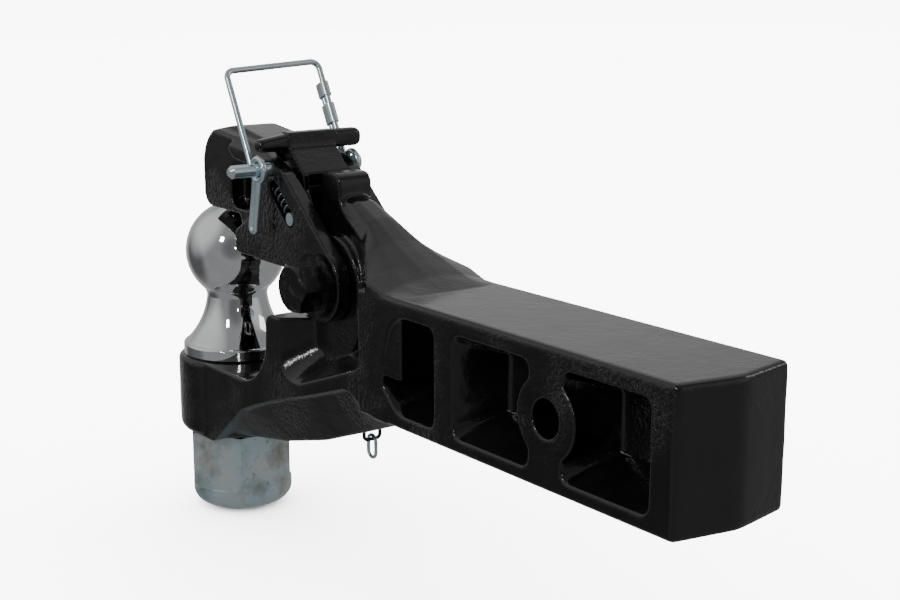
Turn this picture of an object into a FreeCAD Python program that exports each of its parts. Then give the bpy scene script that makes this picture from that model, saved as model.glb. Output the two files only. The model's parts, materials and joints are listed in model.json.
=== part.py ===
"""Receiver-mount combination pintle hook and hitch ball, as separate pieces.

Frame: the origin is the centre of the receiver pin bore.  +X runs along the shank to its
free end, +Y points to the far side of the hook, +Z is up.  All sizes are in millimetres.
"""
import FreeCAD, Part
import math
import os

Vector = FreeCAD.Vector
Rotation = FreeCAD.Rotation
ALONG_Y = Rotation(Vector(1, 0, 0), -90)
SIDE_VIEW = Rotation(Vector(1, 0, 0), 90)
FRONT_VIEW = Rotation(Vector(0, 1, 0), Vector(0, 0, 1), Vector(1, 0, 0))

# Driving sizes: alias, value, what it is.
SIZES = [
    ("shank_width", 63.5, "outside of the square receiver shank"),
    ("shank_edge_round", 2.5, "rounding of the shank's long edges"),
    ("shank_end", 76.0, "x of the side corners of the shank's free end"),
    ("shank_ridge", 82.0, "x of the upright ridge in the middle of the free end"),
    ("shank_root", -134.0, "x where the shank's sides meet the hook head"),
    ("pin_bore", 17.0, "diameter of the bore for the receiver pin"),
    ("pin_boss_radius", 19.0, "boss left round the pin bore between two pockets"),
    ("pocket_depth", 26.0, "depth of the lightening pockets"),
    ("pocket_draft", 22.0, "draft angle of the pocket walls"),
    ("pocket_round", 5.0, "corner radius of the pockets"),
    ("pocket_top", 23.5, "z of the pockets' upper edge"),
    ("pocket_foot", -25.0, "z of the pockets' lower edge"),
    ("ball_x", -320.7, "x of the ball's axis"),
    ("ball_z", 20.2, "z of the ball's centre"),
    ("ball_diameter", 58.74, "2-5/16 inch ball"),
    ("ball_neck", 35.6, "smallest diameter under the ball"),
    ("ball_neck_drop", 26.5, "how far the neck lies under the ball's centre"),
    ("ball_flange", 64.9, "diameter of the flange the ball seats on"),
    ("ball_flange_thick", 7.5, "thickness of that flange"),
    ("ball_thread", 38.1, "diameter of the ball's threaded stud"),
    ("ball_nut_flats", 57.2, "across flats of the ball nut"),
    ("ball_nut_hex", 34.0, "height of the nut's hexagon"),
    ("ball_nut_collar", 12.0, "height of the nut's locking collar"),
    ("nut_collar_radius", 29.6, "radius of the locking collar"),
    ("platform_radius", 35.8, "radius of the round platform under the ball"),
    ("platform_top", -41.0, "z of the platform's upper face"),
    ("platform_foot", -87.0, "z of the platform's lower face"),
    ("post_front", -233.0, "x of the upright face behind the throat"),
    ("post_back", -219.0, "x where the side recess begins"),
    ("post_top", 2.0, "z of the top of the upright post"),
    ("keel_half", 18.0, "half width of the flat under the keel"),
    ("keel_inset", 4.0, "how far the belly steps in under each side face"),
    ("web_thick", 20.0, "thickness of the tower's web"),
    ("tower_front", -208.0, "x of the tower nose's front face"),
    ("tower_back", -190.0, "x of the tower nose's back face"),
    ("tower_top", 80.0, "z of the tower nose's top"),
    ("roof_half", 4.0, "half width of the flat ridge on the gusset"),
    ("pivot_x", -190.0, "x of the latch pivot"),
    ("pivot_z", 24.0, "z of the latch pivot"),
    ("pivot_pad_radius", 25.0, "radius of the bearing pads round the pivot"),
    ("pivot_pad_thick", 31.6, "width over both bearing pads"),
    ("bolt_diameter", 15.875, "5/8 inch pivot bolt"),
    ("bolt_flats", 23.81, "across flats of the bolt head and nut"),
    ("bolt_head", 13.2, "height of the bolt head"),
    ("washer_diameter", 33.3, "outside of the pivot washers"),
    ("washer_thick", 3.2, "thickness of the pivot washers"),
    ("sleeve_diameter", 22.2, "outside of the pivot sleeve"),
    ("sleeve_length", 49.4, "length of the pivot sleeve"),
    ("sleeve_gap", 0.08, "radial running clearance round the sleeve"),
    ("cheek_outside", 49.0, "width over both latch cheeks"),
    ("cheek_inside", 32.4, "gap between the latch cheeks"),
    ("cheek_end_radius", 20.0, "radius of the cheeks round the pivot"),
    ("nose_width", 43.0, "width of the latch nose"),
    ("crown_slope", 6.0, "how much the nose's crowned top falls towards the back, degrees"),
    ("slot_top_x", -233.0, "x of the slots' upper centre"),
    ("slot_top_z", 68.6, "z of the slots' upper centre"),
    ("slot_travel", 21.2, "distance between the slots' two centres"),
    ("slot_lean", 42.2, "slope of the slots, degrees"),
    ("slot_width", 9.0, "width of the cheek slots"),
    ("lock_width", 29.0, "width of the lock between the cheeks"),
    ("lock_notch_half", 10.9, "half width of the lock's notch over the tower"),
    ("lock_notch_radius", 59.8, "radius of that notch about the pivot"),
    ("guide_pin", 7.0, "diameter of the lock's guide pins"),
    ("bar_half", 32.2, "half length of the lock's cross bar"),
    ("bar_thick", 8.5, "thickness of the cross bar"),
    ("bar_height", 10.0, "height of the cross bar"),
    ("bar_back", -232.0, "x of the cross bar's back face"),
    ("bar_top", 98.0, "z of the cross bar's top"),
    ("spring_wire", 1.0, "wire of the lock springs"),
    ("spring_outside", 7.4, "outside diameter of the lock springs"),
    ("spring_pitch", 4.0, "pitch of the lock springs at rest"),
    ("spring_y", 20.4, "distance of the springs' axes from the middle plane"),
    ("safety_pin_diameter", 7.14, "9/32 inch safety pin"),
    ("safety_pin_x", -236.0, "x of the safety pin"),
    ("safety_pin_z", 79.0, "z of the safety pin"),
    ("safety_pin_tip", -49.0, "y of the pin's tip"),
    ("safety_pin_head", 29.6, "y where the pin's head begins"),
    ("pin_head_thick", 1.6, "thickness of the pin's riveted head"),
    ("pin_head_rim", 1.0, "how far the head stands out round the pin"),
    ("thread_gap", 0.02, "gap that keeps a nut and its stud two solids"),
    ("bolt_gap", 0.15, "radial clearance of the pivot bolt in its sleeve"),
    ("washer_gap", 0.4, "radial clearance of the washers' holes"),
    ("insert_wall", 1.1, "radial thickness of the pivot nut's insert"),
    ("ball_insert_wall", 1.5, "radial thickness of the ball nut's insert"),
    ("pivot_hex", 15, "height of the pivot nut's hexagon"),
    ("bolt_end", 21, "how far the pivot bolt runs on past the far washer"),
    ("pin_gap", 0.4, "radial clearance of the safety pin in the cheeks"),
    ("pin_way_travel", 13, "length of the slot that the safety pin has in the lock"),
    ("bail_wire", 3.4, "diameter of the bail's wire"),
    ("bail_near", -31.2, "y of the bail's near leg"),
    ("bail_far", 27.6, "y of the bail's far leg"),
    ("bail_height", 61.0, "from the pin's axis to the bail's top bar"),
    ("bail_rise", 3.6, "how much longer the bail's far leg is than its near one"),
    ("bail_lean", 27.5, "how far the bail leans forward of upright, degrees"),
    ("bail_eye", 5.9, "radius of the bail's eyes to the middle of the wire"),
    ("loop_length", 31.0, "length of the finger loop under the near eye"),
    ("loop_lean", 11.5, "how far the finger loop leans forward, degrees"),
    ("loop_half", 2.2, "half the distance between the finger loop's strands"),
    ("staple_x", -177.6, "x of the lanyard staple under the keel"),
    ("staple_top", -55.9, "z of the keel's lower face at the staple"),
    ("staple_reach", 4.4, "how far the staple's wire axis hangs under the keel"),
    ("ring_length", 14.2, "outside length of the lanyard ring"),
    ("ring_width", 9.0, "outside width of the lanyard ring"),
    ("lanyard_wire", 2.0, "wire of the lanyard ring and staple"),
]


def make_sheet(doc):
    """Write the driving sizes to the spreadsheet that every piece is bound to."""
    sheet = doc.addObject("Spreadsheet::Sheet", "Sizes")
    for row, (alias, value, note) in enumerate(SIZES, start=1):
        sheet.set("A%d" % row, note)
        sheet.set("B%d" % row, "%g" % value)
        sheet.setAlias("B%d" % row, alias)
    doc.recompute()
    return sheet


class Workshop:
    """The document with short helpers that make bound objects in it."""

    def __init__(self):
        self.doc = FreeCAD.newDocument("CombinationHitch")
        self.sheet = make_sheet(self.doc)
        self.pieces = []

    def size(self, alias):
        return float(self.sheet.get(alias))

    def bind(self, thing, **expressions):
        for name, expression in expressions.items():
            for alias, _, _ in SIZES:
                expression = replace_word(expression, alias, "Sizes." + alias)
            thing.setExpression(name.replace("__", "."), expression)
        return thing

    def place(self, thing, x="0", y="0", z="0"):
        return self.bind(thing, Placement__Base__x=x, Placement__Base__y=y, Placement__Base__z=z)

    def cylinder(self, name, radius, height, x="0", y="0", z="0", rotation=None):
        rod = self.doc.addObject("Part::Cylinder", name)
        rod.Placement = FreeCAD.Placement(Vector(), rotation or Rotation())
        self.bind(rod, Radius=radius, Height=height)
        return self.place(rod, x, y, z)

    def cross_cylinder(self, name, radius, width, x, z):
        """A cylinder along Y, centred on the middle plane."""
        return self.cylinder(name, radius, width, x, "-(%s) / 2" % width, z, ALONG_Y)

    def box(self, name, length, width, height, x, y, z):
        block = self.doc.addObject("Part::Box", name)
        self.bind(block, Length=length, Width=width, Height=height)
        return self.place(block, x, y, z)

    def hexagon(self, name, flats, height, x, y, z, rotation, turn=0):
        prism = self.doc.addObject("Part::Prism", name)
        prism.Polygon = 6
        prism.Placement = FreeCAD.Placement(Vector(), rotation * Rotation(Vector(0, 0, 1), turn))
        self.bind(prism, Circumradius="(%s) / 2 / cos(30deg)" % flats, Height=height)
        return self.place(prism, x, y, z)

    def ring(self, name, radius, wire, x, y, z, rotation):
        torus = self.doc.addObject("Part::Torus", name)
        torus.Placement = FreeCAD.Placement(Vector(), rotation)
        self.bind(torus, Radius1=radius, Radius2="(%s) / 2" % wire)
        return self.place(torus, x, y, z)

    def sketch(self, name, outline, rotation, base=Vector()):
        drawing = self.doc.addObject("Sketcher::SketchObject", name)
        drawing.Placement = FreeCAD.Placement(base, rotation)
        drawing.addGeometry(outline, False)
        return drawing

    def extrude(self, name, outline, width, rotation=SIDE_VIEW, base=Vector(), draft=None):
        """A symmetric slab from an outline, or a one-way drafted one along +Y."""
        slab = self.doc.addObject("Part::Extrusion", name)
        slab.Base = self.sketch(name + "_outline", outline, rotation, base)
        slab.Solid = True
        slab.DirMode = "Custom"
        slab.Dir = rotation.multVec(Vector(0, 0, 1))
        if draft is None:
            slab.Symmetric = True
        else:
            slab.Reversed = True
            self.bind(slab, TaperAngle=draft)
        return self.bind(slab, LengthFwd=width)

    def fuse(self, name, parts):
        joined = self.doc.addObject("Part::MultiFuse", name)
        joined.Shapes = parts
        joined.Refine = True
        return joined

    def cut(self, name, base, tools):
        """Cut one tool or a list of them away from the base."""
        tool = tools[0] if len(tools) == 1 else self.fuse(name + "_tools", tools)
        result = self.doc.addObject("Part::Cut", name)
        result.Base = base
        result.Tool = tool
        result.Refine = True
        return result

    def mirror(self, name, source):
        """The same shape on the other side of the middle plane."""
        other = self.doc.addObject("Part::Mirroring", name)
        other.Source = source
        other.Base = Vector(0, 0, 0)
        other.Normal = Vector(0, 1, 0)
        return other

    def both_sides(self, thing):
        return [thing, self.mirror(thing.Name + "_far", thing)]

    def round_edges(self, name, base, radius, wanted):
        """Round the edges of the base that the test picks."""
        self.doc.recompute()
        rounded = self.doc.addObject("Part::Fillet", name)
        rounded.Base = base
        picked = [i for i, edge in enumerate(base.Shape.Edges, start=1) if wanted(edge)]
        rounded.Edges = [(i, radius, radius) for i in picked]
        return rounded

    def solid(self, name, shape):
        """A free shape, for forms that no primitive or extrusion gives."""
        feature = self.doc.addObject("Part::Feature", name)
        feature.Shape = shape
        return feature

    def finish(self, thing, label):
        """Name a finished piece; its label is its node and its file."""
        thing.Label = label
        self.pieces.append(thing)
        return thing


def replace_word(text, word, new):
    """Swap a whole word that isn't already part of a longer name."""
    out = []
    token = ""
    for letter in text + " ":
        if letter.isalnum() or letter in "_.":
            token += letter
            continue
        out.append(new if token == word else token)
        out.append(letter)
        token = ""
    return "".join(out).strip()


def rounded_outline(corners):
    """Closed outline through (x, z) or (x, z, radius) corners, each rounded by its radius."""
    count = len(corners)
    starts, ends, arcs = [], [], []
    for i, corner in enumerate(corners):
        here = Vector(corner[0], corner[1], 0)
        radius = corner[2] if len(corner) > 2 else 0
        if radius == 0:
            starts.append(here)
            ends.append(here)
            continue
        before = Vector(*corners[i - 1][:2], 0) - here
        after = Vector(*corners[(i + 1) % count][:2], 0) - here
        before.normalize()
        after.normalize()
        half = before.getAngle(after) / 2
        reach = radius / math.tan(half)
        middle = (before + after).normalize()
        centre = here + middle * (radius / math.sin(half))
        starts.append(here + before * reach)
        ends.append(here + after * reach)
        arcs.append(Part.Arc(starts[-1], centre - middle * radius, ends[-1]))
    lines = []
    for i in range(count):
        begin, stop = ends[i], starts[(i + 1) % count]
        if begin.distanceToPoint(stop) > 1e-6:
            lines.append(Part.LineSegment(begin, stop))
    return lines + arcs


def slot_outline(x1, z1, x2, z2, radius):
    """Two half circles joined by straight sides."""
    along = Vector(x2 - x1, z2 - z1, 0).normalize()
    side = Vector(-along.y, along.x, 0) * radius
    first, last = Vector(x1, z1, 0), Vector(x2, z2, 0)
    return [
        Part.LineSegment(first + side, last + side),
        Part.Arc(last + side, last + along * radius, last - side),
        Part.LineSegment(last - side, first - side),
        Part.Arc(first - side, first - along * radius, first + side),
    ]


def closed_wire(points):
    return Part.makePolygon(points + points[:1])


def bent_pipe(points, radius, bend):
    """Round wire along straight runs whose corners are tangent arcs."""
    edges = []
    start = points[0]
    for before, corner, after in zip(points, points[1:], points[2:]):
        toward = (before - corner).normalize()
        away = (after - corner).normalize()
        half = toward.getAngle(away) / 2
        reach = bend / math.tan(half)
        middle = (toward + away).normalize()
        centre = corner + middle * (bend / math.sin(half))
        first, last = corner + toward * reach, corner + away * reach
        edges.append(Part.LineSegment(start, first).toShape())
        edges.append(Part.Arc(first, centre - middle * bend, last).toShape())
        start = last
    edges.append(Part.LineSegment(start, points[-1]).toShape())
    path = Part.Wire(edges)
    heading = (points[1] - points[0]).normalize()
    section = Part.Wire([Part.Circle(points[0], heading, radius).toShape()])
    return path.makePipeShell([section], True, False)


# ---------------------------------------------------------------- hook body

def shank(shop):
    """Square bar with an upright ridge on its free end and rounded long edges."""
    half = shop.size("shank_width") / 2
    root, end = shop.size("shank_root") - 8, shop.size("shank_end")
    plan = rounded_outline([
        (root, -half), (end, -half, 3), (shop.size("shank_ridge"), 0, 20), (end, half, 3), (root, half)])
    bar = shop.extrude("shank_bar", plan, "shank_width", rotation=Rotation())

    def long_edge(edge):
        box = edge.BoundBox
        return box.XLength > 100 and box.YLength < 1 and box.ZLength < 1

    return shop.round_edges("shank_rounded", bar, shop.size("shank_edge_round"), long_edge)


def pocket(shop, name, outline):
    """One drafted lightening pocket on the near side and its mirror image."""
    half = shop.size("shank_width") / 2
    hole = shop.extrude(name, outline, "pocket_depth", base=Vector(0, -half, 0), draft="-pocket_draft")
    return shop.both_sides(hole)


def bored_pocket(shop, name, x_left, x_right):
    """A rectangular pocket whose side by the pin bore stops short of the boss."""
    top, foot, corner = (shop.size(s) for s in ("pocket_top", "pocket_foot", "pocket_round"))
    return pocket(shop, name, rounded_outline([
        (x_left, foot, corner), (x_right, foot, corner), (x_right, top, corner), (x_left, top, corner)]))


def shank_pockets(shop):
    top, foot, corner = (shop.size(s) for s in ("pocket_top", "pocket_foot", "pocket_round"))
    end_pocket = bored_pocket(shop, "end_pocket", 10.0, 62.5)
    middle_pocket = bored_pocket(shop, "middle_pocket", -65.0, -11.0)
    root_pocket = pocket(shop, "root_pocket", rounded_outline([
        (-79, foot, corner), (-79, top, corner), (-113, top, 16), (-119.5, 1, 6),
        (-126.5, -8, 4), (-108, foot, 14)]))
    return end_pocket + middle_pocket + root_pocket


def head_beam(shop):
    """Full-width beam from the ball platform to the shank, with the post behind the throat."""
    front, top = shop.size("post_front"), shop.size("post_top")
    deck, foot = shop.size("platform_top"), shop.size("platform_foot")
    side = rounded_outline([
        (shop.size("ball_x"), deck), (front, deck, 30), (front, top, 6), (-140, top), (-130, 31.5),
        (-126, 31.5), (-118, -31.5), (-130, -31.5, 8), (-154, -22.5, 14), (-190, -34.5), (-217, -42.5, 20),
        (-246, -52.5),
        (-264, -60, 12), (-298, foot, 6), (shop.size("ball_x"), foot)])
    beam = shop.extrude("head_beam", side, "shank_width")
    return shop.cut("hollow_beam", beam, shop.both_sides(side_recess(shop)))


def side_recess(shop):
    """Deep hollow beside the tower; its front and lower walls slope in towards the web."""
    back, root = shop.size("post_back"), shop.size("shank_root")
    half, web = shop.size("shank_width") / 2 + 0.5, shop.size("web_thick") / 2
    mouth = rounded_outline([
        (back, 60), (back, -30.5, 13), (-199, -30.5, 10), (-142, -10, 12), (root, 8, 12), (root, 60)])
    bottom = rounded_outline([
        (back + 17, 60), (back + 17, -13, 7), (-186, -13, 6), (-157, -2, 6), (-149, 14, 6), (-149, 60)])
    wires = []
    for outline, y in ((mouth, -half), (bottom, -web)):
        wire = Part.Wire(Part.__sortEdges__([curve.toShape() for curve in outline]))
        wire.Placement = FreeCAD.Placement(Vector(0, y, 0), SIDE_VIEW)
        wires.append(wire)
    return shop.solid("side_recess", Part.makeLoft(wires, True, True))


def keel(shop):
    """Drafted belly under the beam, lofted between upright sections."""
    half, flat = shop.size("shank_width") / 2 - shop.size("keel_inset"), shop.size("keel_half")
    stations = [
        (-300.0, -80.0, -85.0), (-270.0, -61.5, -79.6), (-236.0, -48.5, -73.5), (-196.0, -36.0, -62.7),
        (-157.0, -23.0, -48.3), (-134.0, -29.5, -39.5), (-114.0, -31.2, -32.2)]
    wires = []
    for x, edge, bottom in stations:
        wires.append(closed_wire([
            Vector(x, -half, edge), Vector(x, -flat, bottom), Vector(x, flat, bottom),
            Vector(x, half, edge), Vector(x, half - 6, edge + 12), Vector(x, 6 - half, edge + 12)]))
    return shop.solid("keel", Part.makeLoft(wires, True, True))


def tower(shop):
    """Thin upright web whose nose stands over the pivot."""
    front, back, top = (shop.size(s) for s in ("tower_front", "tower_back", "tower_top"))
    side = rounded_outline([
        (shop.size("post_front") + 3, -40), (shop.size("post_front") + 3, -6), (-224, 0, 12),
        (front - 4, 16, 10), (front, 30, 12),
        (front, top, 5), (back, top, 6), (back, 64, 8), (-150, 46), (-135, 20), (-135, -20)])
    return shop.extrude("tower_web", side, "web_thick")


def gusset(shop):
    """Hipped roof that spreads from the tower's web to the full width of the shank."""
    half, ridge, foot = shop.size("shank_width") / 2, shop.size("roof_half"), -8.0
    # x, height of the crest, half width and height of the shoulders, half width and height of the rim
    stations = [(-192.0, 68.5, 6.0, 67.8, 10.0, 64.0), (-182.0, 66.4, 7.5, 65.0, 10.5, 57.0),
                (-166.0, 59.6, 9.0, 57.6, 12.5, 49.0), (-150.0, 50.6, 12.0, 48.6, 22.0, 42.0),
                (-134.0, 43.0, 16.0, 40.8, half, 35.5), (-121.0, 36.8, 18.0, 35.4, half - 0.5, 31.6),
                (-107.0, 31.7, 19.0, 31.6, half - 1.5, 31.5)]
    wires = []
    for x, crest, shoulder, shoulder_z, rim, rim_z in stations:
        right = [Vector(x, ridge, crest), Vector(x, shoulder, shoulder_z), Vector(x, rim, rim_z),
                 Vector(x, rim, foot)]
        left = [Vector(x, -point.y, point.z) for point in reversed(right)]
        wires.append(closed_wire(left + right))
    return shop.solid("gusset", Part.makeLoft(wires, True, True))


def hook_body(shop):
    """The one-piece casting: shank, head, ball platform, tower and pivot pads."""
    solid_shank = shop.cut("pocketed_shank", shank(shop), shank_pockets(shop))
    boss = shop.cross_cylinder("pin_boss", "pin_boss_radius", "shank_width", "0", "0")
    disc = shop.cylinder("platform_disc", "platform_radius", "platform_top - platform_foot",
                         "ball_x", "0", "platform_foot")
    foot = shop.round_edges("platform_foot_round", disc, 6.0,
                            lambda edge: abs(edge.BoundBox.ZMax - shop.size("platform_foot")) < 0.01)
    platform = shop.round_edges("platform_rounded", foot, 3.0, lambda edge: (
        edge.BoundBox.XLength > 60 and abs(edge.BoundBox.ZMin - shop.size("platform_top")) < 0.01))
    pads = shop.extrude("pivot_pads", slot_outline(
        shop.size("pivot_x"), 8.0, shop.size("pivot_x"), shop.size("pivot_z"),
        shop.size("pivot_pad_radius")), "pivot_pad_thick")
    whole = shop.fuse("casting", [
        solid_shank, boss, head_beam(shop), keel(shop), tower(shop), gusset(shop), platform, pads])
    bores = [
        shop.cross_cylinder("pin_bore_tool", "pin_bore / 2", "shank_width + 4", "0", "0"),
        shop.cylinder("stud_bore_tool", "ball_thread / 2 + 0.3", "platform_top - platform_foot + 4",
                      "ball_x", "0", "platform_foot - 2"),
        shop.cross_cylinder("pivot_bore_tool", "sleeve_diameter / 2 + sleeve_gap",
                            "pivot_pad_thick + 4", "pivot_x", "pivot_z"),
    ]
    return shop.finish(shop.cut("hook_body_cut", whole, bores), "hitch_body")


# ---------------------------------------------------------------- ball and its nut

def hitch_ball(shop):
    """Ball, neck, flared skirt, flange and threaded stud, turned in one piece."""
    radius, neck = shop.size("ball_diameter") / 2, shop.size("ball_neck") / 2
    centre, deck = shop.size("ball_z"), shop.size("platform_top")
    flange, stud = shop.size("ball_flange") / 2, shop.size("ball_thread") / 2
    lip = deck + shop.size("ball_flange_thick")
    waist = centre - shop.size("ball_neck_drop")
    join = centre - math.sqrt(radius ** 2 - (neck + 1.5) ** 2)
    foot = shop.size("platform_foot") - shop.size("ball_nut_hex") - shop.size("ball_nut_collar") - 2.0
    start_angle = math.atan2(join - centre, neck + 1.5)
    profile = [
        Part.Arc(Vector(neck + 1.5, join, 0),
                 Vector(radius * math.cos(start_angle / 3), centre + radius * math.sin(start_angle / 3), 0),
                 Vector(0, centre + radius, 0)),
        Part.LineSegment(Vector(0, centre + radius, 0), Vector(0, foot, 0)),
        Part.LineSegment(Vector(0, foot, 0), Vector(stud - 2, foot, 0)),
        Part.LineSegment(Vector(stud - 2, foot, 0), Vector(stud, foot + 2, 0)),
        Part.LineSegment(Vector(stud, foot + 2, 0), Vector(stud, deck, 0)),
        Part.LineSegment(Vector(stud, deck, 0), Vector(flange - 1, deck, 0)),
        Part.LineSegment(Vector(flange - 1, deck, 0), Vector(flange, deck + 1, 0)),
        Part.LineSegment(Vector(flange, deck + 1, 0), Vector(flange, lip - 1.5, 0)),
        Part.Arc(Vector(flange, lip - 1.5, 0), Vector(flange - 0.5, lip - 0.5, 0),
                 Vector(flange - 1.5, lip, 0)),
        Part.Arc(Vector(flange - 1.5, lip, 0), Vector(neck + 3.5, waist - 13.2, 0),
                 Vector(neck, waist, 0)),
        Part.Arc(Vector(neck, waist, 0), Vector(neck + 0.4, (waist + join) / 2, 0),
                 Vector(neck + 1.5, join, 0)),
    ]
    turned = shop.doc.addObject("Part::Revolution", "turned_ball")
    turned.Source = shop.sketch("ball_profile", profile, SIDE_VIEW)
    turned.Axis = Vector(0, 0, 1)
    turned.Angle = 360
    turned.Solid = True
    shop.place(turned, x="ball_x")
    shop.finish(turned, "hitch_ball")


def cone(shop, name, foot_radius, top_radius, height, x, y, z, rotation=None):
    shape = shop.doc.addObject("Part::Cone", name)
    shape.Placement = FreeCAD.Placement(Vector(), rotation or Rotation())
    shop.bind(shape, Radius1=foot_radius, Radius2=top_radius, Height=height)
    return shop.place(shape, x, y, z)


def ball_nut(shop):
    """Hexagon with chamfered corners and a tapered collar that holds the nylon insert."""
    hex_foot = "platform_foot - 0.05 - ball_nut_hex"
    flats = shop.hexagon("ball_nut_hexagon", "ball_nut_flats", "ball_nut_hex", "ball_x", "0", hex_foot,
                         Rotation(), 30)
    bevel = cone(shop, "ball_nut_bevel", "ball_nut_flats / 2 + 2.4", "ball_nut_flats / 2 + 24",
                 "ball_nut_hex", "ball_x", "0", hex_foot)
    body = shop.doc.addObject("Part::Common", "ball_nut_beveled")
    body.Base, body.Tool = flats, bevel
    drum = shop.cylinder("ball_nut_drum", "nut_collar_radius", "ball_nut_collar", "ball_x", "0",
                         hex_foot + " - ball_nut_collar")
    collar = shop.round_edges("ball_nut_dome", drum, 8.0, lambda edge: (
        edge.BoundBox.XLength > 40 and edge.BoundBox.ZMax < shop.size("platform_foot") - 40))
    whole = shop.fuse("ball_nut_whole", [body, collar])
    thread = shop.cylinder("ball_nut_thread", "ball_thread / 2 + thread_gap", "80",
                           "ball_x", "0", "platform_foot - 70")
    seat = shop.cylinder("ball_insert_seat", "ball_thread / 2 + ball_insert_wall", "ball_nut_collar - 5",
                         "ball_x", "0",
                         hex_foot + " - ball_nut_collar + 2.5")
    shop.finish(shop.cut("ball_nut_cut", whole, [thread, seat]), "ball_nut")
    ring = shop.cylinder("ball_insert_ring", "ball_thread / 2 + ball_insert_wall", "ball_nut_collar - 5",
                         "ball_x", "0",
                         hex_foot + " - ball_nut_collar + 2.5")
    hole = shop.cylinder("ball_insert_hole", "ball_thread / 2 + thread_gap", "ball_nut_collar", "ball_x",
                         "0",
                         hex_foot + " - ball_nut_collar")
    shop.finish(shop.cut("ball_insert_cut", ring, [hole]), "ball_nut_insert")


# ---------------------------------------------------------------- pivot

def pivot_fasteners(shop):
    """Bolt, washers, sleeve and lock nut that carry the latch."""
    at = ("pivot_x", "pivot_z")
    face = "sleeve_length / 2 + washer_thick"
    head = shop.hexagon("bolt_hexagon", "bolt_flats", "bolt_head", at[0], "-(%s) - bolt_head" % face, at[1],
                        ALONG_Y, 0)
    bevel = cone(shop, "bolt_bevel", "bolt_flats / 2 - 0.9", "bolt_flats / 2 + 22", "bolt_head + 6",
                 at[0], "-(%s) - bolt_head" % face, at[1], ALONG_Y)
    hexed = shop.doc.addObject("Part::Common", "bolt_head_beveled")
    hexed.Base, hexed.Tool = head, bevel
    rod = shop.cylinder("bolt_rod", "bolt_diameter / 2", "2 * (%s) + bolt_end" % face,
                        at[0], "-(%s)" % face, at[1], ALONG_Y)
    shop.finish(shop.fuse("bolt_whole", [hexed, rod]), "pivot_bolt")

    for label, y in (("pivot_bolt_washer", "-(%s)" % face), ("pivot_nut_washer", "sleeve_length / 2")):
        disc = shop.cylinder(label + "_disc", "washer_diameter / 2", "washer_thick",
                             at[0], y, at[1], ALONG_Y)
        hole = shop.cylinder(label + "_hole", "bolt_diameter / 2 + washer_gap", "washer_thick + 2", at[0],
                             "%s - 1" % y, at[1], ALONG_Y)
        shop.finish(shop.cut(label + "_cut", disc, [hole]), label)

    tube = shop.cross_cylinder("sleeve_tube", "sleeve_diameter / 2", "sleeve_length", *at)
    bore = shop.cross_cylinder("sleeve_bore", "bolt_diameter / 2 + bolt_gap", "sleeve_length + 2", *at)
    shop.finish(shop.cut("sleeve_cut", tube, [bore]), "pivot_sleeve")

    flats = shop.hexagon("pivot_nut_hexagon", "bolt_flats", "pivot_hex", at[0], face, at[1], ALONG_Y, 0)
    collar = cone(shop, "pivot_nut_collar", "bolt_flats / 2 - 0.3", "bolt_flats / 2 - 2.5", "4.5",
                  at[0], face + " + pivot_hex", at[1], ALONG_Y)
    nut = shop.fuse("pivot_nut_whole", [flats, collar])
    thread = shop.cylinder("pivot_nut_thread", "bolt_diameter / 2 + thread_gap", "40", at[0], "20",
                           at[1], ALONG_Y)
    seat = shop.cylinder("pivot_insert_seat", "bolt_diameter / 2 + insert_wall", "3", at[0],
                         face + " + pivot_hex", at[1],
                         ALONG_Y)
    shop.finish(shop.cut("pivot_nut_cut", nut, [thread, seat]), "pivot_nut")
    ring = shop.cylinder("pivot_insert_ring", "bolt_diameter / 2 + insert_wall", "3", at[0],
                         face + " + pivot_hex", at[1],
                         ALONG_Y)
    hole = shop.cylinder("pivot_insert_hole", "bolt_diameter / 2 + thread_gap", "10",
                         at[0], face + " + 12", at[1], ALONG_Y)
    shop.finish(shop.cut("pivot_insert_cut", ring, [hole]), "pivot_nut_insert")


# ---------------------------------------------------------------- latch

def slot_ends(shop):
    """The upper and lower centres of the inclined cheek slots."""
    x, z = shop.size("slot_top_x"), shop.size("slot_top_z")
    lean, travel = math.radians(shop.size("slot_lean")), shop.size("slot_travel")
    return (x, z), (x + travel * math.cos(lean), z - travel * math.sin(lean))


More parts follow.
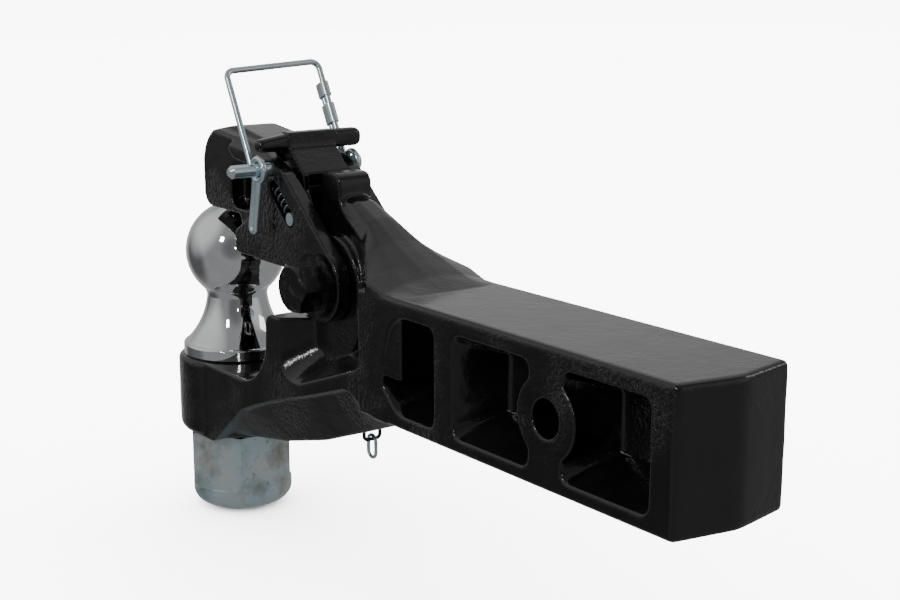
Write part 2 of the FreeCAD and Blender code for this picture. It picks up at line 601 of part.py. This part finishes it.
def latch(shop):
    """Cast latch: two cheeks round the tower, a jaw wall and the nose over the ball."""
    cheeks = shop.extrude("latch_cheeks", rounded_outline([
        (-276.5, 40.5, 4), (-277, 28.3, 5), (-206, 27.3), (-176, 30), (-176, 37.8), (-222.5, 78, 6),
        (-238, 85, 4), (-254, 90.5, 6), (-270, 92.5, 6), (-286.5, 88.5, 4), (-276, 80.5, 4),
        (-256, 79, 4), (-255, 53, 10)]), "cheek_outside")
    pivot_end = shop.cross_cylinder("latch_pivot_end", "cheek_end_radius", "cheek_outside",
                                    "pivot_x", "pivot_z")
    nose = shop.extrude("latch_nose", rounded_outline([
        (-317.5, 49.6, 9), (-276, 49.6, 3), (-270, 32, 3), (-250, 30), (-250, 88), (-262, 92.5, 3),
        (-290, 96.5, 20), (-317.5, 96, 24)]), "nose_width")
    whole = shop.fuse("latch_whole", [cheeks, pivot_end, nose])
    cavity = shop.cross_cylinder("latch_cavity", "62", "cheek_inside", "pivot_x", "pivot_z")
    lock_way = shop.extrude("latch_lock_way", rounded_outline([
        (-259.5, 115), (-259.5, 90, 4), (-236, 62), (-200, 62), (-200, 115)]), "cheek_inside")
    upper, lower = slot_ends(shop)
    slots = shop.extrude("latch_slots", slot_outline(*upper, *lower, shop.size("slot_width") / 2),
                         "cheek_outside + 4")
    pin_holes = shop.cross_cylinder("latch_pin_holes", "safety_pin_diameter / 2 + pin_gap",
                                    "cheek_outside + 4",
                                    "safety_pin_x", "safety_pin_z")
    bore = shop.cross_cylinder("latch_bore", "sleeve_diameter / 2 + sleeve_gap", "cheek_outside + 4",
                               "pivot_x", "pivot_z")
    hollow = shop.extrude("latch_side_hollow", rounded_outline([
        (-285, 52.5, 6), (-263, 52.5, 6), (-263, 76, 6), (-285, 76, 6)]), "9",
        base=Vector(0, -shop.size("nose_width") / 2 - 0.01, 0), draft="0")
    crown = shop.extrude("latch_crown", rounded_outline([
        (27, 99), (27, 87.5), (24.6, 87.5), (20.5, 91.6, 4), (9, 94.6, 10), (9, 99)]), "84",
        rotation=Rotation(Vector(0, 1, 0), shop.size("crown_slope")) * FRONT_VIEW, base=Vector(-284, 0, 0))
    tools = [cavity, lock_way, slots, pin_holes, bore] + shop.both_sides(hollow) + shop.both_sides(crown)
    shop.finish(shop.cut("latch_cut", whole, tools), "latch")


# ---------------------------------------------------------------- lock

def lock(shop):
    """Sliding lock: cross bar, inclined web and two legs that carry the guide pins."""
    upper, lower = slot_ends(shop)
    diagonal = 7.0 / math.sqrt(2)
    web = shop.extrude("lock_web", rounded_outline([
        (-231.5, 98), (-231.5, 90, 4), (-218, 77, 3), (-218, 69, 2),
        (lower[0] + diagonal, lower[1] + diagonal, 0), (lower[0] + 2 * diagonal, lower[1], 6.5),
        (lower[0], lower[1] - 2 * diagonal, 6.5),
        (lower[0] - diagonal, lower[1] - diagonal), (-246.5, 77.5, 4), (-247, 84, 3), (-243, 91, 4),
        (-239.5, 98)]), "lock_width")
    half, top = shop.size("bar_half"), shop.size("bar_top")
    low = top - shop.size("bar_height")
    middle = shop.size("bar_back") - shop.size("bar_thick") / 2
    bar = shop.extrude("lock_bar", rounded_outline([
        (half, low, 4), (half, top, 4), (-8, top, 12), (-half, top - 3.3, 3), (-half, low, 3)]), "bar_thick",
        rotation=FRONT_VIEW, base=Vector(middle, 0, 0))

    def long_top(edge):
        return edge.BoundBox.YLength > 8 and edge.BoundBox.ZMin > low + 4

    rounded_bar = shop.round_edges("lock_bar_rounded", bar, 3.0, long_top)
    whole = shop.fuse("lock_whole", [web, rounded_bar])
    notch = shop.cross_cylinder("lock_notch", "lock_notch_radius", "2 * lock_notch_half",
                                "pivot_x", "pivot_z")
    lean, travel = math.radians(shop.size("slot_lean")), shop.size("pin_way_travel")
    x, z = shop.size("safety_pin_x"), shop.size("safety_pin_z")
    pin_way = shop.extrude("lock_pin_way", slot_outline(
        x, z, x + travel * math.cos(lean), z - travel * math.sin(lean), 4.2), "lock_width + 4")
    holes = shop.cross_cylinder("lock_guide_holes", "guide_pin / 2", "lock_width + 4",
                                "%.4f" % lower[0], "%.4f" % lower[1])
    shop.finish(shop.cut("lock_cut", whole, [notch, pin_way, holes]), "lock_handle")

    for label, side in (("lock_guide_pin_near", -1), ("lock_guide_pin_far", 1)):
        y = "lock_notch_half" if side > 0 else "-(cheek_outside / 2 - 0.4)"
        stub = shop.cylinder(label + "_stub", "guide_pin / 2", "cheek_outside / 2 - 0.4 - lock_notch_half",
                             "%.4f" % lower[0], y, "%.4f" % lower[1], ALONG_Y)
        shop.finish(stub, label)


def lock_springs(shop):
    """Two compression springs that lie in the cheek slots and push the lock down."""
    upper, lower = slot_ends(shop)
    wire = shop.size("spring_wire")
    along = Vector(upper[0] - lower[0], 0, upper[1] - lower[1]).normalize()
    outside = shop.size("spring_outside") / 2
    seat = shop.size("guide_pin") / 2 + wire / 2 + 0.2
    round_end = math.sqrt((shop.size("slot_width") / 2) ** 2 - outside ** 2)
    length = shop.size("slot_travel") + round_end - seat - wire / 2 - 0.3
    turn = Rotation(Vector(0, 0, 1), along)
    coil = shop.doc.addObject("Part::Helix", "spring_coil")
    shop.bind(coil, Pitch="spring_pitch", Radius="(spring_outside - spring_wire) / 2")
    coil.Height = length
    coil.SegmentLength = 1
    section = shop.doc.addObject("Part::Circle", "spring_section")
    section.Placement = FreeCAD.Placement(
        Vector((shop.size("spring_outside") - wire) / 2, 0, 0), Rotation(Vector(1, 0, 0), 90))
    shop.bind(section, Radius="spring_wire / 2")
    swept = shop.doc.addObject("Part::Sweep", "spring_sweep")
    swept.Sections = [section]
    swept.Spine = (coil, [])
    swept.Solid = True
    swept.Frenet = True
    foot = Vector(lower[0], -shop.size("spring_y"), lower[1]) + along * seat
    swept.Placement = FreeCAD.Placement(foot, turn)
    shop.finish(swept, "lock_spring_near")
    shop.finish(shop.mirror("spring_far_sweep", swept), "lock_spring_far")


# ---------------------------------------------------------------- safety pin and bail

def safety_pin(shop):
    """Straight pin with a chamfered tip and a round head."""
    at = ("safety_pin_x", "safety_pin_z")
    rod = shop.cylinder("safety_rod", "safety_pin_diameter / 2", "safety_pin_head - safety_pin_tip - 2",
                        at[0], "safety_pin_tip + 2", at[1], ALONG_Y)
    tip = cone(shop, "safety_tip", "safety_pin_diameter / 2 - 1.6", "safety_pin_diameter / 2", "2",
               at[0], "safety_pin_tip", at[1], ALONG_Y)
    head = shop.cylinder("safety_head", "safety_pin_diameter / 2 + pin_head_rim", "pin_head_thick",
                         at[0], "safety_pin_head", at[1], ALONG_Y)
    shop.finish(shop.fuse("safety_whole", [rod, tip, head]), "safety_pin")


class BailFrame:
    """Places points given along the bail's legs (up) and square to them (forward)."""

    def __init__(self, shop):
        lean = math.radians(shop.size("bail_lean"))
        self.origin = Vector(shop.size("safety_pin_x"), 0, shop.size("safety_pin_z"))
        self.up = Vector(-math.sin(lean), 0, math.cos(lean))
        self.forward = Vector(-math.cos(lean), 0, -math.sin(lean))

    def point(self, forward, up, y):
        return self.origin + self.forward * forward + self.up * up + Vector(0, y, 0)


def wire_bail(shop):
    """Bent wire: two legs, a top bar, an eye round the pin at each side and a finger loop."""
    frame = BailFrame(shop)
    wire, eye = shop.size("bail_wire") / 2, shop.size("bail_eye")
    near, far, height = shop.size("bail_near"), shop.size("bail_far"), shop.size("bail_height")
    rise = shop.size("bail_rise") / 2
    hoop = bent_pipe([frame.point(eye, 0, far), frame.point(eye, height + rise, far),
                      frame.point(eye, height - rise, near), frame.point(eye, 0, near)], wire, 4.5)
    tail = bent_pipe([frame.point(eye, 2, far), frame.point(eye + 3.6, 9, far),
                      frame.point(eye + 3.6, 50, far)], wire, 8)
    lean = math.radians(shop.size("loop_lean"))
    down = Vector(-math.sin(lean), 0, -math.cos(lean))
    front = Vector(-math.cos(lean), 0, math.sin(lean))
    centre = frame.origin + Vector(0, near, 0)
    half = shop.size("loop_half")
    start = centre + down * (eye - 1)
    low = centre + down * (shop.size("loop_length") + 3.3)
    loop = bent_pipe([start + front * half, low + front * half, low - front * half, start - front * half],
                     wire, half - 0.1)
    parts = [shop.solid("bail_hoop", hoop), shop.solid("bail_tail", tail), shop.solid("bail_loop", loop)]
    for name, y in (("bail_near_eye", "bail_near"), ("bail_far_eye", "bail_far")):
        parts.append(shop.ring(name, "bail_eye", "bail_wire", "safety_pin_x", y, "safety_pin_z", ALONG_Y))
    shop.finish(shop.fuse("bail_whole", parts), "wire_bail")

    for label, low_end, tall in (("bail_collar_lower", 26.0, 11.0), ("bail_collar_upper", 42.0, 8.0)):
        outer, inner = wire + 1.0, wire
        sleeve = oval_tube(frame, eye, eye + 3.6, low_end, tall, outer, far)
        bore = oval_tube(frame, eye, eye + 3.6, low_end - 1, tall + 2, inner, far)
        shop.finish(shop.solid(label + "_crimp", sleeve.cut(bore)), label)


def oval_tube(frame, first, second, low_end, tall, radius, y):
    """Solid of oval section round two neighbouring strands of wire."""
    a, b = frame.point(first, low_end, y), frame.point(second, low_end, y)
    side = Vector(0, radius, 0)
    edges = [
        Part.LineSegment(a + side, b + side).toShape(),
        Part.Arc(b + side, b + frame.forward * radius, b - side).toShape(),
        Part.LineSegment(b - side, a - side).toShape(),
        Part.Arc(a - side, a - frame.forward * radius, a + side).toShape(),
    ]
    return Part.Face(Part.Wire(edges)).extrude(frame.up * tall)


# ---------------------------------------------------------------- lanyard

def lanyard(shop):
    """Welded staple under the keel and the long ring that hangs from it."""
    x, wire = shop.size("staple_x"), shop.size("lanyard_wire") / 2
    keel_foot, reach, half = shop.size("staple_top"), shop.size("staple_reach"), 5.0
    low = keel_foot - reach
    staple = bent_pipe([Vector(x, -half, keel_foot + 3), Vector(x, -half, low),
                        Vector(x, half, low), Vector(x, half, keel_foot + 3)], wire, 2.5)
    shop.finish(shop.solid("staple_wire", staple), "lanyard_staple")

    rise, wide = shop.size("ring_length") / 2 - wire, shop.size("ring_width") / 2 - wire
    middle = low + 2 * wire + 0.15 - rise
    straight = rise - wide
    start, stop = Vector(x + wide, 0, middle - straight), Vector(x - wide, 0, middle + straight)
    edges = [
        Part.LineSegment(start, Vector(x + wide, 0, middle + straight)).toShape(),
        Part.Arc(Vector(x + wide, 0, middle + straight), Vector(x, 0, middle + rise), stop).toShape(),
        Part.LineSegment(stop, Vector(x - wide, 0, middle - straight)).toShape(),
        Part.Arc(Vector(x - wide, 0, middle - straight), Vector(x, 0, middle - rise), start).toShape(),
    ]
    section = Part.Wire([Part.Circle(start, Vector(0, 0, 1), wire).toShape()])
    ring = Part.Wire(edges).makePipeShell([section], True, False)
    shop.finish(shop.solid("ring_wire", ring), "lanyard_ring")


def check(shop):
    """Stop if any object failed or any piece has no sound solid."""
    shop.doc.recompute()
    for thing in shop.doc.Objects:
        if "Invalid" in thing.State or "Error" in thing.State:
            raise RuntimeError("%s failed: %s" % (thing.Label, thing.State))
    for piece in shop.pieces:
        shape = piece.Shape
        if shape.isNull() or not shape.isValid() or not shape.Solids:
            raise RuntimeError("%s has no sound solid" % piece.Label)
        print("%-20s solids %d  volume %9.0f mm3" % (piece.Label, len(shape.Solids), shape.Volume))


def main():
    shop = Workshop()
    hook_body(shop)
    hitch_ball(shop)
    ball_nut(shop)
    pivot_fasteners(shop)
    latch(shop)
    lock(shop)
    lock_springs(shop)
    safety_pin(shop)
    wire_bail(shop)
    lanyard(shop)
    check(shop)
    os.makedirs("parts", exist_ok=True)
    for piece in shop.pieces:
        piece.Shape.exportStep("parts/%s.step" % piece.Label)


main()
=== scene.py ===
import json
import math

import bpy
import numpy as np
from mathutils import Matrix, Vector, noise


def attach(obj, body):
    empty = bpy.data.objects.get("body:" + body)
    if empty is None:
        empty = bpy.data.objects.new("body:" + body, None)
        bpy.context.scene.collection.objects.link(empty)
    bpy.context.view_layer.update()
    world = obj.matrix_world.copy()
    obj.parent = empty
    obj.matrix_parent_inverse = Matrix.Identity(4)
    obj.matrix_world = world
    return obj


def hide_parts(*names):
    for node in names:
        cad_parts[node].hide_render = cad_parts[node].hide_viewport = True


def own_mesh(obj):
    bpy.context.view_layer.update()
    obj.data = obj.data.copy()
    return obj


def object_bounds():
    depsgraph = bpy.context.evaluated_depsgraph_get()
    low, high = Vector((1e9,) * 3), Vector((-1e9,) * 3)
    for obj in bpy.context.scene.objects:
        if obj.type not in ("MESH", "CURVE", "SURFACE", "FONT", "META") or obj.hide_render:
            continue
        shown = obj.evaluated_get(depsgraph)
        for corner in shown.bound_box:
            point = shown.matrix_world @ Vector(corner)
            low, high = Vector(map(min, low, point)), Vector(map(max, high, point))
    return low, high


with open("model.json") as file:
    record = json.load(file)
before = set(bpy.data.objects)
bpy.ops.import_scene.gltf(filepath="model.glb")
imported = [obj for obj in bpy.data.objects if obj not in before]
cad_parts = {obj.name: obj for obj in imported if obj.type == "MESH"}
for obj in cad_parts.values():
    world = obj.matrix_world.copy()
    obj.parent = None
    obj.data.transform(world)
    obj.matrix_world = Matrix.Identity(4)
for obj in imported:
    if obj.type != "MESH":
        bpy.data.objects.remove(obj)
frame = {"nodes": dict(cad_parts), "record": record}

cad_low, cad_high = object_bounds()

# The camera stands beyond the shank's free end, slightly above it: metres, degrees and millimetres.
CAMERA_PLACE = (0.4632, -0.4255, 0.1860)
CAMERA_AZIMUTH = 53.34
CAMERA_ELEVATION = 12.55
CAMERA_LENS = 60.66
CAMERA_SENSOR = 36

BACKDROP = 9.0  # the radiance that comes out as white
FLOOR_SIZE = 12
FLOOR_GAP = 0.0005
FLOOR_GREY = 0.95
FLOOR_SUN_ANGLE = 150

ROOM_LEVEL = 0.25
# Each glow: its direction, the half angles where it starts and where it is full, and its strength.
# Those with a strength below zero are dark parts of the room, one of which the shank's side mirrors.
GLOWS = (
    ((-0.78, 0.56, 0.42), 24, 4, 0.12),
    ((-0.85, 0.45, -0.10), 50, 18, 0.20),
    ((-0.60, -0.72, 0.60), 52, 12, 0.36),
    ((0.75, 0.60, 0.25), 30, 8, 0.25),
    ((-0.32, 0.38, 0.90), 38, 15, 0.34),
    ((0.78, -0.58, 0.22), 34, 6, -0.12),
    ((-0.78, -0.60, -0.25), 38, 16, -0.16),
)
# Each lamp: its name, shape, place, the point it faces, width and height, watts, and whether it is mirrored.
LAMPS = (
    ("left", "DISK", (-1.3, -0.9, 0.45), (-0.2, 0, 0.02), (0.45, 0.45), 4, False),
    ("glint", "DISK", (-1.3, -0.9, 0.45), (-0.2, 0, 0.02), (0.12, 0.12), 0.5, True),
    ("front", "RECTANGLE", (0.3, -1.3, 0.9), (-0.2, 0, 0), (0.22, 0.3), 5, True),
    ("back_right", "RECTANGLE", (0.5, 1.2, 0.7), (-0.2, 0, 0), (0.5, 0.5), 1.5, True),
    ("flash", "DISK", (0.60, -0.52, 0.27), (-0.3, 0, 0.02), (0.05, 0.05), 0.3, True),
)

STUD_TOP = -0.0435  # below this height the ball's stud is bare dark steel
STUD_BLEND = 0.0005
# A red-brown bloom lies on the shank's far end facet: where it starts and where it is full, along and across
# the shank, and how far above and below the middle it is full and has gone.
SMEAR_ALONG = (cad_high.x - 0.0116, cad_high.x - 0.0066)
SMEAR_ACROSS = (0.004, 0.010)
SMEAR_UP = (0.006, 0.016)

FINE_VOXEL = 0.0008
# Each casting: its node, its voxel as a share of the size above, smoothing passes, dent depth and noise seed.
CASTINGS = (
    ("hitch_body", 1.0, 5, 0.0002, 1.0),
    ("latch", 1.0, 4, 0.0002, 2.0),
    ("lock_handle", 0.75, 4, 0.0001, 3.0),
)
BROAD_DENTS = 70  # dents per metre
FINE_DENTS = 190
FINE_SHARE = 0.5  # how deep the fine dents are beside the broad ones
DENT_MIDDLE = 0.75  # added to the waves, so that most of them are dents
FLAT_FACE_RELIEF = 0.8  # how much shallower the dents are on faces that look up or down

SLOT_OF = {part["node"]: part["material_slot"] for part in frame["record"]["subparts"]}
BODY_OF = {node: body for body, nodes in frame["record"]["behaviour"]["bodies"].items() for node in nodes}


def link(name, data):
    """Put a new object with this data in the scene."""
    thing = bpy.data.objects.new(name, data)
    bpy.context.scene.collection.objects.link(thing)
    return thing


class Nodes:
    """Short helpers for building a node tree."""

    def __init__(self, tree):
        self.tree = tree

    def feed(self, socket, value):
        """Link a socket to an output, or set it; a tuple is a colour without its alpha."""
        if isinstance(value, bpy.types.NodeSocket):
            self.tree.links.new(value, socket)
        else:
            socket.default_value = (*value, 1) if isinstance(value, tuple) else value

    def node(self, kind, inputs=(), **settings):
        """A new node, with its settings made before its inputs are fed."""
        made = self.tree.nodes.new(kind)
        for key, value in settings.items():
            setattr(made, key, value)
        for key, value in dict(inputs).items():
            self.feed(made.inputs[key], value)
        return made

    def math(self, operation, first, second=0.0):
        return self.node("ShaderNodeMath", {0: first, 1: second}, operation=operation).outputs["Value"]


# ---------------------------------------------------------------- stage

def aim(thing, place, direction):
    """Stand a camera or lamp at a place, looking in a direction."""
    thing.location = place
    thing.rotation_mode = "QUATERNION"
    thing.rotation_quaternion = Vector(direction).to_track_quat("-Z", "Y")


def make_camera():
    """Look down the shank from beyond its free end."""
    data = bpy.data.cameras.new("camera")
    data.lens = CAMERA_LENS
    data.sensor_width = CAMERA_SENSOR
    view = link("camera", data)
    turn, fall = math.radians(CAMERA_AZIMUTH), math.radians(CAMERA_ELEVATION)
    level = math.cos(fall)
    aim(view, CAMERA_PLACE, (-math.sin(turn) * level, math.cos(turn) * level, -math.sin(fall)))
    bpy.context.scene.camera = view


def make_lamp(name, shape, place, target, size, watts, mirrored):
    """A soft lamp that the camera never sees."""
    data = bpy.data.lights.new(name, "AREA")
    data.shape = shape
    data.size, data.size_y = size
    data.energy = watts
    lamp = link(name, data)
    lamp.visible_camera = False
    lamp.visible_glossy = mirrored
    aim(lamp, place, Vector(target) - Vector(place))


def make_world():
    """White to the eye; what the surfaces see is a dark room with a few soft glows."""
    made = bpy.data.worlds.new("studio")
    bpy.context.scene.world = made
    made.use_nodes = True
    nodes = Nodes(made.node_tree)
    background = made.node_tree.nodes["Background"]
    nodes.feed(background.inputs["Color"], (1, 1, 1))
    direction = nodes.node("ShaderNodeTexCoord").outputs["Generated"]
    room = ROOM_LEVEL
    for towards, wide, narrow, strength in GLOWS:
        dot = nodes.node("ShaderNodeVectorMath", {0: direction, 1: Vector(towards).normalized()},
                         operation="DOT_PRODUCT")
        inputs = {"Value": dot.outputs["Value"], "From Min": math.cos(math.radians(wide)),
                  "From Max": math.cos(math.radians(narrow)), "To Max": strength}
        glow = nodes.node("ShaderNodeMapRange", inputs, interpolation_type="SMOOTHSTEP")
        room = nodes.math("ADD", glow.outputs["Result"], room)
    seen = nodes.node("ShaderNodeLightPath").outputs["Is Camera Ray"]
    backdrop = nodes.math("MULTIPLY", seen, BACKDROP)
    hidden = nodes.math("MULTIPLY", nodes.math("SUBTRACT", 1.0, seen), room)
    nodes.feed(background.inputs["Strength"], nodes.math("ADD", backdrop, hidden))


def make_floor():
    """A white floor with a lamp of its own; the paint and chrome don't mirror it."""
    bpy.ops.mesh.primitive_plane_add(size=FLOOR_SIZE, location=(0, 0, cad_low.z - FLOOR_GAP))
    plane = bpy.context.object
    plane.name = "floor"
    plane.visible_glossy = False
    plane.visible_diffuse = False
    paint = bpy.data.materials.new("floor")
    paint.use_nodes = True
    shader = paint.node_tree.nodes["Principled BSDF"]
    shader.inputs["Base Color"].default_value = (FLOOR_GREY, FLOOR_GREY, FLOOR_GREY, 1)
    shader.inputs["Roughness"].default_value = 1.0
    shader.inputs["Specular IOR Level"].default_value = 0.0
    plane.data.materials.append(paint)
    data = bpy.data.lights.new("floor_light", "SUN")
    data.energy = BACKDROP * math.pi / FLOOR_GREY
    data.angle = math.radians(FLOOR_SUN_ANGLE)
    lamp = link("floor_light", data)
    lamp.visible_glossy = False
    lit = bpy.data.collections.new("lit_floor")
    lit.objects.link(plane)
    lamp.light_linking.receiver_collection = lit


# ---------------------------------------------------------------- materials

class Look(Nodes):
    """A Principled material with short helpers for its procedural nodes."""

    def __init__(self, name):
        self.material = bpy.data.materials.new(name)
        self.material.use_nodes = True
        super().__init__(self.material.node_tree)
        self.shader = self.tree.nodes["Principled BSDF"]
        self.coordinates = self.node("ShaderNodeTexCoord").outputs["Object"]

    def noise(self, scale, detail=3.0, roughness=0.55):
        """Smooth noise in the object's own coordinates."""
        inputs = {"Vector": self.coordinates, "Scale": scale, "Detail": detail, "Roughness": roughness}
        return self.node("ShaderNodeTexNoise", inputs).outputs["Fac"]

    def stretch(self, value, low, high, new_low, new_high):
        """Map one range of values onto another, and stop at its ends."""
        inputs = {"Value": value, "From Min": low, "From Max": high, "To Min": new_low, "To Max": new_high}
        return self.node("ShaderNodeMapRange", inputs).outputs["Result"]

    def mix(self, factor, first, second):
        """Mix two colours; 6, 7 and 2 are the node's colour inputs and output."""
        return self.node("ShaderNodeMix", {0: factor, 6: first, 7: second}, data_type="RGBA").outputs[2]

    def bump(self, height, distance, strength=1.0, under=None):
        """Normals for a height, on top of another bump if there is one."""
        inputs = {"Height": height, "Distance": distance, "Strength": strength}
        if under is not None:
            inputs["Normal"] = under
        return self.node("ShaderNodeBump", inputs).outputs["Normal"]

    def set(self, **sockets):
        """Feed the shader's inputs, named with underscores for spaces, and hand back the material."""
        for name, value in sockets.items():
            self.feed(self.shader.inputs[name.replace("_", " ")], value)
        return self.material


def end_smear(look):
    """Faint red-brown bloom in the middle of the shank's far end facet."""
    place = look.node("ShaderNodeSeparateXYZ", {0: look.coordinates}).outputs
    free_end = look.stretch(place["X"], *SMEAR_ALONG, 0.0, 1.0)
    far_facet = look.stretch(place["Y"], *SMEAR_ACROSS, 0.0, 1.0)
    belt = look.stretch(look.math("ABSOLUTE", place["Z"]), *SMEAR_UP, 1.0, 0.0)
    bloom = look.stretch(look.noise(55, 4, 0.65), 0.46, 0.66, 0.0, 0.7)
    facet = look.math("MULTIPLY", free_end, far_facet)
    return look.math("MULTIPLY", facet, look.math("MULTIPLY", belt, bloom))


def black_paint():
    """Thick glossy paint that follows the dimpled skin of a sand casting."""
    look = Look("black_paint")
    normal = look.node("ShaderNodeSeparateXYZ", {0: look.node("ShaderNodeNewGeometry").outputs["Normal"]})
    side = look.stretch(look.math("ABSOLUTE", normal.outputs["Y"]), 0.6, 0.95, 0.15, 1.0)
    patches = look.stretch(look.noise(24, 2), 0.46, 0.66, 0.08, 1.0)
    grain = look.stretch(look.noise(480, 2, 0.5), 0.38, 0.72, 0.0, 1.0)
    skin = look.bump(look.math("MULTIPLY", grain, look.math("MULTIPLY", side, patches)), 0.0006)
    waves = look.bump(look.noise(80, 2), 0.0005, 0.5, skin)
    peel = look.bump(look.noise(900, 1.5), 0.00006, 0.7, waves)
    dust = look.stretch(look.noise(60, 6, 0.7), 0.35, 0.75, 0.0, 1.0)
    colour = look.mix(dust, (0.0035, 0.0035, 0.0038), (0.009, 0.009, 0.0095))
    smear = end_smear(look)
    colour = look.mix(smear, colour, (0.045, 0.010, 0.010))
    rough = look.stretch(look.noise(40, 5, 0.65), 0.3, 0.7, 0.09, 0.22)
    rough = look.math("ADD", rough, look.math("MULTIPLY", smear, 0.25))
    return look.set(Base_Color=colour, Roughness=rough, Normal=peel, Coat_Weight=0.3, Coat_Roughness=0.06)


def chrome():
    """Mirror chrome with faint handling marks; the stud under the platform is dark steel."""
    look = Look("chrome")
    height = look.node("ShaderNodeSeparateXYZ", {0: look.coordinates}).outputs["Z"]
    stud = look.stretch(height, STUD_TOP - STUD_BLEND, STUD_TOP, 1.0, 0.0)
    smudge = look.stretch(look.noise(38, 6, 0.7), 0.45, 0.75, 0.0, 1.0)
    colour = look.mix(smudge, (0.90, 0.91, 0.93), (0.76, 0.77, 0.78))
    colour = look.mix(stud, colour, (0.10, 0.10, 0.10))
    rough = look.math("ADD", look.stretch(smudge, 0, 1, 0.03, 0.10), look.stretch(stud, 0, 1, 0.0, 0.3))
    bump = look.bump(look.noise(30, 2), 0.0001, 0.5, look.bump(look.noise(1500, 2), 0.000008, 0.5))
    return look.set(Base_Color=colour, Metallic=1.0, Roughness=rough, Normal=bump)


def zinc(name, dull, stains, shade=1.0):
    """Clear zinc plating: a bluish skin with warm clouds, grey-green stains and small dark specks; shade
    darkens every colour, a painted shade for parts that sit in shadow.
    """
    look = Look(name)
    cloud = look.stretch(look.noise(45, 4, 0.6), 0.38, 0.66, 0.0, 1.0)
    stain = look.math("MULTIPLY", look.stretch(look.noise(65, 3, 0.6), 0.48, 0.74, 0.0, 1.0), stains)
    speck = look.math("MULTIPLY", look.stretch(look.noise(300, 2, 0.6), 0.66, 0.76, 0.0, 1.0), stains * 0.5)
    cool, warm, stained = (tuple(shade * c for c in colour)
                           for colour in ((0.62, 0.78, 0.86), (0.74, 0.78, 0.78), (0.34, 0.36, 0.30)))
    colour = look.mix(cloud, cool, warm)
    colour = look.mix(stain, colour, stained)
    colour = look.mix(speck, colour, (0.08, 0.07, 0.06))
    clouded = look.stretch(cloud, 0, 1, dull * 0.75, dull * 1.15)
    rough = look.math("ADD", clouded, look.stretch(stain, 0, 1, 0, 0.12))
    bump = look.bump(look.noise(700, 4, 0.7), 0.00005, 0.6, look.bump(look.noise(90, 2), 0.0002, 0.5))
    return look.set(Base_Color=colour, Metallic=0.75, Roughness=rough, Normal=bump)


def black_bolt():
    """Blackened steel with rubbed, slightly rusty spots."""
    look = Look("black_bolt")
    worn = look.stretch(look.noise(150, 4, 0.65), 0.50, 0.72, 0.0, 1.0)
    rusty = look.stretch(look.noise(320, 3, 0.6), 0.60, 0.72, 0.0, 0.6)
    colour = look.mix(worn, (0.012, 0.012, 0.013), (0.075, 0.072, 0.068))
    colour = look.mix(rusty, colour, (0.06, 0.035, 0.02))
    bump = look.bump(look.noise(450, 4, 0.7), 0.00015, 0.8)
    rough = look.stretch(worn, 0, 1, 0.16, 0.38)
    return look.set(Base_Color=colour, Metallic=0.4, Roughness=rough, Normal=bump)


def nylon():
    """Milky lock-nut insert."""
    look = Look("nylon")
    colour = look.mix(look.noise(150, 4), (0.70, 0.70, 0.66), (0.80, 0.80, 0.77))
    bump = look.bump(look.noise(900, 3), 0.00005, 0.6)
    return look.set(Base_Color=colour, Roughness=0.45, Normal=bump)


# ---------------------------------------------------------------- pieces

def stand_in(name, suffix, mesh):
    """A piece that is shown in place of a CAD node and moves with its body."""
    piece = link(name + suffix, mesh)
    piece.data.materials.clear()
    piece.data.materials.append(looks[SLOT_OF[name]])
    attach(piece, BODY_OF[name])
    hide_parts(name)
    return piece


def melted(name, voxel, passes):
    """A CAD casting's mesh with its edges and corners melted a little."""
    rough = link(name + "_melt", frame["nodes"][name].data.copy())
    melt = rough.modifiers.new("melt", "REMESH")
    melt.mode = "VOXEL"
    melt.voxel_size = voxel
    soften = rough.modifiers.new("soften", "SMOOTH")
    soften.factor = 0.5
    soften.iterations = passes
    graph = bpy.context.evaluated_depsgraph_get()
    mesh = bpy.data.meshes.new_from_object(rough.evaluated_get(graph))
    bpy.data.objects.remove(rough)
    mesh.shade_smooth()
    return mesh


def vectors(items, field):
    """One row of three numbers for each item."""
    values = np.empty(len(items) * 3, np.float32)
    items.foreach_get(field, values)
    return values.reshape(-1, 3)


def dent(mesh, deepest, seed):
    """Push a casting's faces slightly inwards, in broad and fine dimples."""
    place = vectors(mesh.vertices, "co")
    outward = vectors(mesh.vertex_normals, "vector")
    shift = Vector((seed, 2 * seed, 3 * seed))

    def wave(point):
        fine = noise.noise(point * FINE_DENTS + shift)
        return noise.noise(point * BROAD_DENTS + shift) + FINE_SHARE * fine

    waves = np.array([wave(Vector(point)) for point in place.tolist()], np.float32)
    upright = 1 - FLAT_FACE_RELIEF * np.abs(outward[:, 2])
    depth = deepest * np.clip(DENT_MIDDLE + waves, 0, 2 * DENT_MIDDLE) / (2 * DENT_MIDDLE) * upright
    place -= outward * depth[:, None]
    mesh.vertices.foreach_set("co", place.ravel())
    mesh.update()


def lock_spring(name):
    """A lock spring's coil, shown in place of its CAD node with a mesh of its own."""
    mesh = frame["nodes"][name].data.copy()
    coil = stand_in(name, "_coil", mesh)
    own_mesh(coil)
    return coil


make_camera()
make_world()
make_floor()
for lamp in LAMPS:
    make_lamp(*lamp)

looks = {
    "black_paint": black_paint(),
    "chrome": chrome(),
    "zinc": zinc("zinc", 0.22, 0.35),
    "black_bolt": black_bolt(),
    "nylon": nylon(),
}
for name, node in frame["nodes"].items():
    node.data.materials.clear()
    node.data.materials.append(looks[SLOT_OF[name]])
frame["nodes"]["ball_nut"].data.materials[0] = zinc("nut_zinc", 0.38, 0.9)

voxel = FINE_VOXEL
for name, share, passes, dents, seed in CASTINGS:
    skin = melted(name, voxel * share, passes)
    dent(skin, dents, seed)
    stand_in(name, "_cast", skin)
# The lock springs get zinc darkened to 0.35 of its colour: painted shade for the shadow inside the cheek
# slot.
shaded_spring_plating = zinc("spring_zinc", 0.3, 0.9, 0.35)
for name in ("lock_spring_near", "lock_spring_far"):
    lock_spring(name).data.materials[0] = shaded_spring_plating
